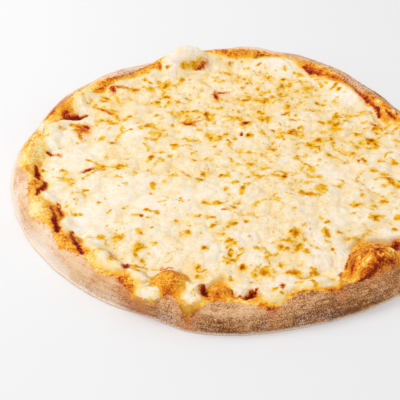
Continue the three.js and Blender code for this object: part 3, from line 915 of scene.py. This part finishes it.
def cheese_edge(angle):
    """The cheese's edge with the small scallops of its melted shreds."""
    x, y = flat_place(CHEESE_EDGE_RADIUS, angle)
    scallops = 1.1 * layered_noise(x, y, 0, 9, 101)
    return cheese_radius(angle) + scallops + 0.5 * layered_noise(x, y, 0, 3.5, 111, 2)


def cheese_inset(distance, angle):
    """How far a place is inside the cheese's edge, in mm, measured square to the edge."""
    step = 0.01
    turn = (cheese_edge(angle + step) - cheese_edge(angle - step)) / (2 * step * CHEESE_EDGE_RADIUS)
    return (cheese_edge(angle) - distance) / np.hypot(1, turn)


def dough_swell(x, y, z):
    """Slow rises and falls of the dough's surface, in mm."""
    distance, angle = distance_and_angle(x, y)
    swell = 0.7 * layered_noise(x, y, z, 24, 171) + 0.35 * layered_noise(x, y, z, 8, 181)
    swell += bumps(WALL_DENTS, angle) * smoothstep(distance, *DENT_SPAN)
    return swell * smoothstep(z, *CLEAR_OF_LIP)


def dough_wrinkles(x, y, z):
    """Long thin wrinkles that run round the rim."""
    distance, angle = distance_and_angle(x, y)
    up_the_wall = z + outer_radius(angle) - distance
    return layered_noise(x / 6, y / 6, up_the_wall, 1.4, 241, 2)


def rim_relief(x, y, z):
    """What lies on the dough round the cheese, in mm: crumbs or film, lobes of cheese, and sunken sauce."""
    distance, angle = distance_and_angle(x, y)
    film = smoothstep(FILM_EDGE_RADIUS + bumps(FILM_EDGE, angle) - distance, -1, 2)
    crumb = 0.2 * layered_noise(x, y, z, 2.2, 191) + 0.22 * dough_wrinkles(x, y, z)
    relief = crumb * (1 - film) * smoothstep(z, *CLEAR_OF_LIP)
    relief += film * sample(toppings.film_thickness, x, y) + sample(toppings.lobe, x, y)
    return relief - 0.8 * smoothstep(sample(toppings.red, x, y), 0.2, 0.7)


def rim_surface(x, y):
    """Height of the rim with all that lies on it, which the three layers share where they end."""
    distance, angle = distance_and_angle(x, y)
    dough = dough_top(distance, angle)
    slope = dough_top(distance + 0.5, angle) - dough_top(distance - 0.5, angle)
    slope *= smoothstep(distance, 60, 100)
    return dough + (dough_swell(x, y, dough) + rim_relief(x, y, dough)) * np.hypot(1, slope)


def sauce_top(x, y):
    """Height of the sauce, flush with the rim where it shows and dipping under it further out."""
    distance, angle = distance_and_angle(x, y)
    pulp = SAUCE_PULP * layered_noise(x, y, 0, 3.4, 121)
    hidden = dough_top(distance, angle) + SAUCE_THICKNESS + SAUCE_PULP + pulp
    rim = rim_surface(x, y)
    top = mix(rim + SAUCE_LIFT, hidden, smoothstep(cheese_inset(distance, angle), 0, CHEESE_EDGE_SLOPE))
    return mix(rim - SAUCE_DIP, top, smoothstep(sauce_radius(angle) + 0.8 - distance, 0, 1.5))


def cheese_top():
    """A square of points bent into the round top of the cheese."""
    share, angle = concentric_grid(CHEESE_CELLS)
    distance = share * CHEESE_EDGE_RADIUS
    distance += (cheese_edge(angle) - CHEESE_EDGE_RADIUS) * smoothstep(share, 0.55, 1)
    x, y = flat_place(distance, angle)
    full_top = sauce_top(x, y) + np.maximum(CHEESE_THINNEST, sample(toppings.thickness, x, y))
    rounded = smoothstep(cheese_inset(distance, angle), 0, CHEESE_EDGE_SLOPE)
    top = mix(rim_surface(x, y) + CHEESE_LIFT, full_top, rounded)
    return np.stack([x, y, top], axis=-1).reshape(-1, 3)


def cheese_bottom(edge):
    """Rings of points from the cheese's edge to near its middle, just inside the sauce."""
    edge_distance, angle = distance_and_angle(edge[:, 0], edge[:, 1])
    rings = [edge]
    for share in (1.0, 0.96, 0.9, 0.82, 0.7, 0.4, 0.05):
        distance = share * edge_distance
        height = sauce_top(*flat_place(distance, angle)) - CHEESE_SINK
        rings.append(polar_points(distance, angle, height))
    return rings


def make_cheese():
    top = cheese_top()
    side = CHEESE_CELLS + 1
    index = np.arange(side * side).reshape(side, side)
    quads = np.stack([index[:-1, :-1], index[1:, :-1], index[1:, 1:], index[:-1, 1:]], axis=-1)
    edge = np.concatenate([index[:-1, 0], index[-1, :-1], index[:0:-1, -1], index[0, :0:-1]])
    rings = cheese_bottom(top[edge])

    faces = [quads.reshape(-1, 4)]
    count = len(edge)
    here = np.arange(count)
    following = (here + 1) % count
    above = len(top) + here
    for _ in rings[1:]:
        below = above + count
        faces.append(np.stack([above, below, below[following], above[following]], axis=1))
        above = below
    middle = len(top) + len(rings) * count
    faces.append(np.stack([above, np.full(count, middle), above[following]], axis=1))
    centre = np.array([[0, 0, float(sauce_top(np.array(0.0), np.array(0.0))) - CHEESE_SINK]])
    points = np.concatenate([top, *rings, centre])
    piece = make_mesh("melted_mozzarella", points, faces)
    toppings.paint_on(piece, points)
    return piece


def make_sauce():
    angle = ring_angles(SAUCE_COLUMNS)
    outer = sauce_radius(angle) + SAUCE_OVERLAP
    rings = []
    for share in (0.08, 0.5, 0.8, 0.9, 0.96):
        distance = share * outer
        rings.append(polar_points(distance, angle, dough_top(distance, angle) - SAUCE_SINK))
    for share in (*np.linspace(1, 0.8, SAUCE_ROWS), 0.5, 0.08):
        distance = share * outer
        height = sauce_top(*flat_place(distance, angle))
        rings.append(polar_points(distance, angle, height))
    points = np.concatenate(rings)
    piece = make_mesh("baked_tomato_sauce", points, ringed_faces(SAUCE_COLUMNS, len(rings)))
    toppings.paint_on(piece, points)
    return piece


def crust_underside(angle):
    """Rings of the flat underside and of the ragged lip round it."""
    x, y = flat_place(OUTER_RADIUS, angle)
    ragged = 0.5 * layered_noise(x, y, 0, 11, 151) + 0.22 * layered_noise(x, y, 0, 3, 161)
    outer = outer_radius(angle)
    lip_top = LIP_HEIGHT + 0.25 * ragged
    flat = np.zeros_like(angle)
    return [
        *(polar_points(share * outer, angle, flat) for share in (0.08, 0.5, 0.85, 0.95)),
        polar_points(outer - UNDERSIDE_INSET, angle, flat),
        polar_points(outer - 0.9 + 0.6 * ragged, angle, flat + 0.05),
        polar_points(outer + ragged, angle, 0.4 * lip_top),
        polar_points(outer - 0.15 + ragged, angle, 0.75 * lip_top),
        polar_points(outer - 0.7 + 0.7 * ragged, angle, 0.95 * lip_top),
    ]


def crust_rim(angle, inner):
    """Rings up the dough's wall, over the rim and down to `inner` under the cheese."""
    outer = outer_radius(angle)
    crown = outer - CROWN_INSET
    wall = outer - LIP_WIDTH
    rise_power = 2 / WALL_ROUNDNESS
    rings = []
    for step in range(RIM_WALL_ROWS):
        turn = 0.5 * math.pi * (step + 0.15) / RIM_WALL_ROWS
        distance = crown + (wall - crown) * math.cos(turn) ** rise_power
        bubble = bubble_height(*flat_place(distance, angle))
        rise = crown_height(angle) - LIP_HEIGHT + bubble
        height = LIP_HEIGHT + rise * math.sin(turn) ** rise_power
        rings.append(polar_points(distance, angle, height))
    for step in range(RIM_SLOPE_ROWS):
        distance = mix(crown, inner, step / (RIM_SLOPE_ROWS - 1))
        rings.append(polar_points(distance, angle, dough_top(distance, angle)))
    return rings


def raised(rings):
    """The rim's rings, moved square to their surface by the swells and all that lies on the dough."""
    shown = np.array(rings)
    around = np.roll(shown, -1, axis=1) - np.roll(shown, 1, axis=1)
    across = np.gradient(shown, axis=0)
    normal = np.cross(around, across)
    normal /= np.linalg.norm(normal, axis=-1, keepdims=True)
    x, y, z = shown[..., 0], shown[..., 1], shown[..., 2]
    distance, angle = distance_and_angle(x, y)
    clear_of_cheese = smoothstep(distance - cheese_edge(angle), -1.6, -0.2)
    relief = dough_swell(x, y, z) + mix(-DOUGH_SINK, rim_relief(x, y, z), clear_of_cheese)
    return shown + normal * relief[..., None]


def paint_dough(piece, points):
    """Gives the crust the numbers for its browning, flour, bald places, scorched edges and lip."""
    x, y, z = points.T
    distance, angle = distance_and_angle(x, y)
    up = np.clip(z / crown_height(angle), 0, 1)
    browning = 0.1 + bumps(DOUGH_BROWNING, angle)
    # The wall is made darker towards the tray on the front and right sides.
    browning += bumps(WALL_DARKENING, angle) * (1 - smoothstep(up, 0.3, 0.95))
    browning += 0.14 * layered_noise(x, y, z, 20, 211) + 0.1 * layered_noise(x, y, z, 6, 221)
    browning -= 0.28 * dough_wrinkles(x, y, z)
    flour = bumps(FLOURED_DOUGH, angle) + 0.25 * layered_noise(x, y, z, 12, 231)
    flour += (0.12 + bumps(FLOURED_WALL, angle)) * (1 - smoothstep(up, 0.2, 0.8))
    bare = (z < UNDERSIDE_TOP) & (distance < outer_radius(angle) - 2 * UNDERSIDE_INSET)
    paint(piece, "browning", np.where(bare, UNDERSIDE_BROWNING, np.clip(browning, 0, 1)))
    paint(piece, "flour", np.where(bare, UNDERSIDE_FLOUR, np.clip(flour, 0, 1)))
    paint(piece, "bald", np.clip(bumps(BALD_DOUGH, angle) * smoothstep(up, 0.3, 0.8), 0, 1))
    paint(piece, "scorch", np.clip(bumps(SCORCHED_EDGE, angle), 0, 1))
    paint(piece, "lip", np.where(bare, 0, 1 - smoothstep(z, 0.8, 1.9)))


def make_crust():
    angle = ring_angles(RIM_COLUMNS)
    inner = np.minimum(cheese_radius(angle), outer_radius(angle) - CROWN_INSET) - HIDDEN_DOUGH
    rings = [*crust_underside(angle), *raised(crust_rim(angle, inner))]
    for share in (0.8, 0.4, 0.08):
        rings.append(polar_points(share * inner, angle, dough_top(share * inner, angle)))
    points = np.concatenate(rings)

    distance, angle = distance_and_angle(points[:, 0], points[:, 1])
    foot = bumps(FOOT_DENTS, angle) * smoothstep(points[:, 2], *FOOT_SPAN)
    foot *= smoothstep(distance, *DENT_SPAN)
    placed = polar_points(distance + foot, angle, points[:, 2])
    piece = make_mesh("baked_dough_crust", placed, ringed_faces(RIM_COLUMNS, len(rings)))
    toppings.paint_on(piece, points)
    paint_dough(piece, points)
    return piece


# ---- Materials ----
def rgb(red, green, blue):
    """A colour as the eye sees it, 0 to 255, as Blender's linear numbers."""
    linear = []
    for value in (red, green, blue):
        share = value / 255
        linear.append(share / 12.92 if share <= 0.04045 else ((share + 0.055) / 1.055) ** 2.4)
    return (*linear, 1)


CREAM_PALE = rgb(247, 235, 222)
CREAM = rgb(244, 226, 193)
CREAM_WARM = rgb(241, 203, 124)
# Grey cream for places that are partly translucent and partly painted shade.
GREY_CREAM_AND_SHADE = rgb(229, 221, 205)
CREAM_HOLLOW = rgb(240, 206, 136)
TOAST_RAMP = [
    (0.14, rgb(242, 214, 130)), (0.28, rgb(236, 192, 66)), (0.46, rgb(222, 162, 8)), (0.7, rgb(204, 120, 4)),
    (0.88, rgb(184, 78, 6)), (0.98, rgb(128, 42, 8)),
]
GOLDEN = rgb(240, 192, 30)
FILM_RAMP = [
    (0.0, rgb(247, 226, 162)), (0.22, rgb(244, 190, 70)), (0.42, rgb(234, 154, 30)),
    (0.62, rgb(210, 104, 18)), (0.8, rgb(158, 54, 12)), (1.0, rgb(112, 34, 8)),
]
SKIRT = rgb(250, 196, 60)
STAINED_EDGE = rgb(246, 212, 126)
RED_RAMP = [
    (0.0, rgb(224, 134, 16)), (0.22, rgb(206, 86, 12)), (0.42, rgb(160, 34, 16)), (0.63, rgb(108, 12, 20)),
    (0.88, rgb(58, 4, 14)),
]
RED_HALO = rgb(230, 152, 24)
FLOUR = rgb(246, 229, 212)
DOUGH_RAMP = [
    (0.0, rgb(238, 202, 164)), (0.3, rgb(222, 174, 126)), (0.55, rgb(190, 130, 78)), (0.8, rgb(146, 92, 50)),
    (1.0, rgb(104, 62, 32)),
]
LIP_RAMP = [(0.35, rgb(226, 190, 158)), (0.6, rgb(250, 232, 214))]
SCORCHED = rgb(196, 112, 60)
SCORCHED_PALE = rgb(230, 160, 106)


def add_node(tree, kind, inputs, output, **settings):
    """Adds a node with these inputs, numbers or links, and gives one of its outputs."""
    node = tree.nodes.new("ShaderNode" + kind)
    for name, value in settings.items():
        setattr(node, name, value)
    for name, value in inputs.items():
        put(tree, node.inputs[name], value)
    return node.outputs[output]


def put(tree, socket, value):
    if isinstance(value, bpy.types.NodeSocket):
        tree.links.new(value, socket)
    else:
        socket.default_value = value


class Shader:
    """A material's node tree, with short calls for the nodes that it needs."""

    def __init__(self, name):
        self.material = bpy.data.materials.new(name)
        self.material.use_nodes = True
        self.tree = self.material.node_tree
        self.tree.nodes.clear()
        output = self.tree.nodes.new("ShaderNodeOutputMaterial")
        self.surface = self.tree.nodes.new("ShaderNodeBsdfPrincipled")
        self.tree.links.new(self.surface.outputs["BSDF"], output.inputs["Surface"])
        self.place = add_node(self.tree, "TexCoord", {}, "Object")

    def attribute(self, name):
        return add_node(self.tree, "Attribute", {}, "Fac", attribute_name=name)

    def noise(self, size, detail=2.0, rough=0.5):
        """Noise from 0 to 1 with lumps about `size` mm across."""
        inputs = {"Vector": self.place, "Scale": 1 / (size * MM), "Detail": detail, "Roughness": rough}
        return add_node(self.tree, "TexNoise", inputs, "Fac")

    def lines(self, size, thickness):
        """1 along thin wandering lines about `size` mm apart, 0 elsewhere."""
        away = self.calculate("SUBTRACT", self.noise(size, 2, 0.5), 0.5)
        return self.span(self.calculate("ABSOLUTE", away), 0.0, thickness, 1.0, 0.0)

    def calculate(self, operation, a, b=0.0, c=0.0):
        return add_node(self.tree, "Math", {0: a, 1: b, 2: c}, 0, operation=operation)

    def add(self, a, b):
        return self.calculate("ADD", a, b)

    def multiply(self, a, b):
        return self.calculate("MULTIPLY", a, b)

    def larger(self, a, b):
        return self.calculate("MAXIMUM", a, b)

    def span(self, value, low, high, to_low=0.0, to_high=1.0):
        """Maps low..high to to_low..to_high with smooth ends."""
        inputs = {"Value": value, "From Min": low, "From Max": high, "To Min": to_low, "To Max": to_high}
        return add_node(self.tree, "MapRange", inputs, "Result", interpolation_type="SMOOTHSTEP")

    def vary(self, value, noise, low, high, amount):
        """Adds from -amount to amount as the noise goes from low to high."""
        return self.add(value, self.span(noise, low, high, -amount, amount))

    def blend(self, share, a, b):
        return add_node(self.tree, "Mix", {0: share, 6: a, 7: b}, 2, data_type="RGBA")

    def ramp(self, value, stops):
        colour = add_node(self.tree, "ValToRGB", {"Fac": value}, "Color")
        elements = colour.node.color_ramp.elements
        while len(elements) < len(stops):
            elements.new(0.5)
        for element, (place, shade) in zip(elements, stops):
            element.position = place
            element.color = shade
        return colour

    def bump(self, height, distance, **below):
        """Fine relief of about `distance` mm, over the relief given as Normal."""
        inputs = {"Height": height, "Distance": distance * MM, **below}
        return add_node(self.tree, "Bump", inputs, "Normal")

    def set(self, **sockets):
        for name, value in sockets.items():
            put(self.tree, self.surface.inputs[name.replace("_", " ")], value)


class Toppings:
    """Colours of cheese, gold film and sauce, the same on every piece so that they meet without a seam."""

    def __init__(self, shader):
        self.fine = shader.noise(0.9, 3, 0.6)
        self.coarse = shader.noise(4.5, 3, 0.55)
        self.strand = shader.noise(1.6, 3, 0.65)
        white_depth = shader.attribute("white_depth")
        film = self.film_colour(shader, white_depth)
        cheese = self.cheese_colour(shader, white_depth)
        self.white = shader.span(shader.vary(white_depth, self.strand, 0.3, 0.7, 0.6), -0.4, 0.9)
        colour = shader.blend(self.white, film, cheese)
        mark = shader.vary(shader.attribute("red"), self.fine, 0.25, 0.75, 0.3)
        colour = shader.blend(shader.span(mark, -0.5, 0.1, 0.0, 0.75), colour, RED_HALO)
        self.red = shader.span(mark, 0.0, 0.25)
        self.colour = shader.blend(self.red, colour, shader.ramp(mark, RED_RAMP))

    def cheese_colour(self, shader, white_depth):
        """Cream with greyer, hollow and stained places, browned where the cheese is baked; the greyer places
        are partly translucent and partly painted shade.
        """
        warmth = shader.attribute("warmth")
        busy = shader.span(warmth, 0.25, 0.9)
        veins = shader.multiply(shader.lines(6.0, 0.04), shader.span(self.coarse, 0.48, 0.6, 0.0, 0.5))
        specks = shader.span(shader.noise(1.3, 2, 0.5), 0.58, 0.74, 0.0, 0.55)
        small = shader.multiply(shader.larger(veins, specks), busy)
        baked = shader.larger(shader.attribute("toast"), small)
        baked = shader.vary(baked, self.fine, 0.25, 0.75, 0.15)
        self.baked = shader.span(baked, 0.2, 0.32)

        warmth = shader.vary(warmth, self.coarse, 0.3, 0.7, 0.2)
        warmth = shader.vary(warmth, self.strand, 0.3, 0.7, 0.24)
        cream = shader.ramp(warmth, [(0.0, CREAM_PALE), (0.45, CREAM), (1.0, CREAM_WARM)])
        # Greyer patches at random: partly translucent places of the cheese, partly painted shade standing in
        # for the soft shading of its relief.
        grey_and_shade = shader.span(shader.noise(7.0, 3, 0.6), 0.5, 0.66, 0.0, 0.6)
        cream = shader.blend(grey_and_shade, cream, GREY_CREAM_AND_SHADE)
        hollow = shader.span(shader.attribute("hollow"), 0.5, 1.0, 0.0, 0.35)
        cream = shader.blend(hollow, cream, CREAM_HOLLOW)
        stain = shader.vary(white_depth, self.coarse, 0.3, 0.7, 6.0)
        cream = shader.blend(shader.span(stain, 0.0, 5.0, 0.75, 0.0), cream, STAINED_EDGE)

        hue = shader.noise(3.4, 2, 0.5)
        browner = shader.add(baked, shader.span(hue, 0.34, 0.5, 0.13, 0.0))
        golden = shader.span(hue, 0.46, 0.6, 0.0, 0.75)
        golden = shader.multiply(golden, shader.span(baked, 0.5, 0.95, 1.0, 0.0))
        toasted = shader.blend(golden, shader.ramp(browner, TOAST_RAMP), GOLDEN)
        return shader.blend(self.baked, cream, toasted)

    def film_colour(self, shader, white_depth):
        """Gold to scorched red-brown, paler along the white cheese."""
        tint = shader.vary(shader.attribute("tint"), self.strand, 0.25, 0.75, 0.2)
        tint = shader.add(tint, shader.multiply(shader.lines(2.8, 0.07), 0.16))
        freckles = shader.span(shader.noise(1.2, 2, 0.6), 0.54, 0.7, -0.05, 0.3)
        film = shader.ramp(shader.add(tint, freckles), FILM_RAMP)
        return shader.blend(shader.span(white_depth, -2.2, -0.4, 0.0, 0.5), film, SKIRT)


def cheese_material():
    shader = Shader("melted_mozzarella")
    top = Toppings(shader)
    not_white = shader.calculate("SUBTRACT", 1.0, top.white)
    coloured = shader.larger(top.baked, shader.larger(top.red, not_white))
    shader.set(
        Base_Color=top.colour,
        Roughness=shader.span(top.coarse, 0.2, 0.8, 0.34, 0.5),
        Normal=shader.bump(top.fine, 0.14, Normal=shader.bump(shader.noise(2.2, 4, 0.6), 0.4)),
        Subsurface_Weight=shader.span(coloured, 0.0, 1.0, 0.12, 0.0),
        Subsurface_Radius=(1.0, 0.62, 0.32),
        Subsurface_Scale=0.003,
        Specular_IOR_Level=shader.span(coloured, 0.0, 1.0, 0.2, 0.05),
    )
    return shader.material


def sauce_material():
    shader = Shader("baked_tomato_sauce")
    top = Toppings(shader)
    shader.set(
        Base_Color=top.colour,
        Roughness=shader.span(top.strand, 0.3, 0.7, 0.2, 0.4),
        Normal=shader.bump(top.strand, 0.5),
        Specular_IOR_Level=0.08,
    )
    return shader.material


def crust_material():
    shader = Shader("baked_dough_crust")
    top = Toppings(shader)
    bald = shader.attribute("bald")
    speck = shader.noise(0.75, 2, 0.7)
    patchy = shader.noise(5.0, 4, 0.7)

    baked = shader.vary(shader.attribute("browning"), patchy, 0.3, 0.7, 0.14)
    grit = shader.span(speck, 0.42, 0.58, -1.0, 1.0)
    grit = shader.multiply(grit, shader.span(baked, 0.1, 0.45, 0.5, 1.0))
    grit = shader.multiply(grit, shader.span(bald, 0.0, 1.0, 1.0, 0.15))
    dough = shader.ramp(shader.calculate("MULTIPLY_ADD", grit, -0.24, baked), DOUGH_RAMP)
    powder = shader.calculate("MULTIPLY_ADD", grit, 0.2, shader.attribute("flour"))
    powder = shader.calculate("SUBTRACT", powder, shader.multiply(bald, 0.8))
    colour = shader.blend(shader.span(powder, 0.2, 0.9, 0.0, 0.9), dough, FLOUR)
    colour = shader.blend(shader.attribute("lip"), colour, shader.ramp(speck, LIP_RAMP))
    film_depth = shader.vary(shader.attribute("film_depth"), top.strand, 0.3, 0.7, 1.0)
    halo = shader.multiply(shader.span(film_depth, -8.0, -0.5, 0.0, 0.8), shader.attribute("scorch"))
    scorched = shader.blend(shader.span(grit, -0.8, 0.8), SCORCHED, SCORCHED_PALE)
    colour = shader.blend(halo, colour, scorched)
    film = shader.larger(shader.span(film_depth, -1.1, 0.9), top.white)
    colour = shader.blend(film, colour, top.colour)

    shader.set(
        Base_Color=colour,
        Roughness=shader.span(shader.larger(film, bald), 0.0, 1.0, 0.86, 0.42),
        Normal=shader.bump(speck, 0.3, Normal=shader.bump(patchy, 0.5)),
        Subsurface_Weight=0.04,
        Subsurface_Radius=(1.0, 0.6, 0.35),
        Subsurface_Scale=0.002,
        Specular_IOR_Level=0.08,
    )
    return shader.material


def table_material():
    shader = Shader("white_table")
    shader.set(Base_Color=rgb(232, 232, 233), Roughness=0.7, Specular_IOR_Level=0.2)
    return shader.material


# ---- The studio ----
def make_table():
    half = TABLE_SIDE / 2
    corners = [(-half, -half, 0), (half, -half, 0), (half, half, 0), (-half, half, 0)]
    mesh = bpy.data.meshes.new("white_table")
    mesh.from_pydata(corners, [], [(0, 1, 2, 3)])
    mesh.materials.append(table_material())
    table = add_to_scene(bpy.data.objects.new("white_table", mesh))


def make_sky():
    """A white studio, brighter from above and from the camera's side."""
    world = bpy.data.worlds.new("studio")
    bpy.context.scene.world = world
    world.use_nodes = True
    tree = world.node_tree
    direction = add_node(tree, "TexCoord", {}, "Generated")
    inputs = {0: direction, 1: BRIGHT_SKY_DIRECTION}
    towards = add_node(tree, "VectorMath", inputs, "Value", operation="DOT_PRODUCT")
    inputs = {"Value": towards, "To Min": DARK_SKY, "To Max": BRIGHT_SKY}
    background = tree.nodes["Background"]
    put(tree, background.inputs["Color"], (1, 1, 1, 1))
    put(tree, background.inputs["Strength"], add_node(tree, "MapRange", inputs, "Result"))


def make_lamp():
    light = bpy.data.lights.new("key_softbox", "AREA")
    light.shape = "SQUARE"
    light.size = LAMP_SIZE
    light.energy = LAMP_POWER
    lamp = add_to_scene(bpy.data.objects.new("key_softbox", light))
    lamp.location = LAMP_PLACE
    lamp.rotation_euler = (-Vector(LAMP_PLACE)).to_track_quat("-Z", "Y").to_euler()


def make_camera():
    forward = Vector((0, math.cos(ELEVATION), -math.sin(ELEVATION)))
    level_right = Vector((1, 0, 0))
    level_up = level_right.cross(forward)
    right = level_right * math.cos(ROLL) + level_up * math.sin(ROLL)
    up = level_up * math.cos(ROLL) - level_right * math.sin(ROLL)
    middle = PHOTO_SIDE / 2
    to_origin = forward.copy()
    to_origin += right * ((ORIGIN_PIXEL[0] - middle) / FOCAL_PIXELS)
    to_origin -= up * ((ORIGIN_PIXEL[1] - middle) / FOCAL_PIXELS)
    place = -to_origin.normalized() * CAMERA_DISTANCE
    data = bpy.data.cameras.new("camera")
    data.sensor_width = SENSOR_WIDTH
    data.lens = SENSOR_WIDTH * FOCAL_PIXELS / PHOTO_SIDE
    camera = add_to_scene(bpy.data.objects.new("camera", data))
    turned = Matrix((right, up, -forward)).transposed().to_4x4()
    camera.matrix_world = Matrix.Translation(place) @ turned
    bpy.context.scene.camera = camera


def dress(piece, material, node):
    """The piece takes its material, hangs from the root body and stands in for a CAD node, which it hides.
    """
    piece.data.materials.append(material)
    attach(piece, "root")
    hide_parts(node)


make_camera()
make_table()
make_sky()
make_lamp()
dress(make_crust(), crust_material(), "dough_crust")
dress(make_sauce(), sauce_material(), "tomato_sauce")
dress(make_cheese(), cheese_material(), "mozzarella_layer")

bpy.context.scene.view_settings.view_transform = "Standard"
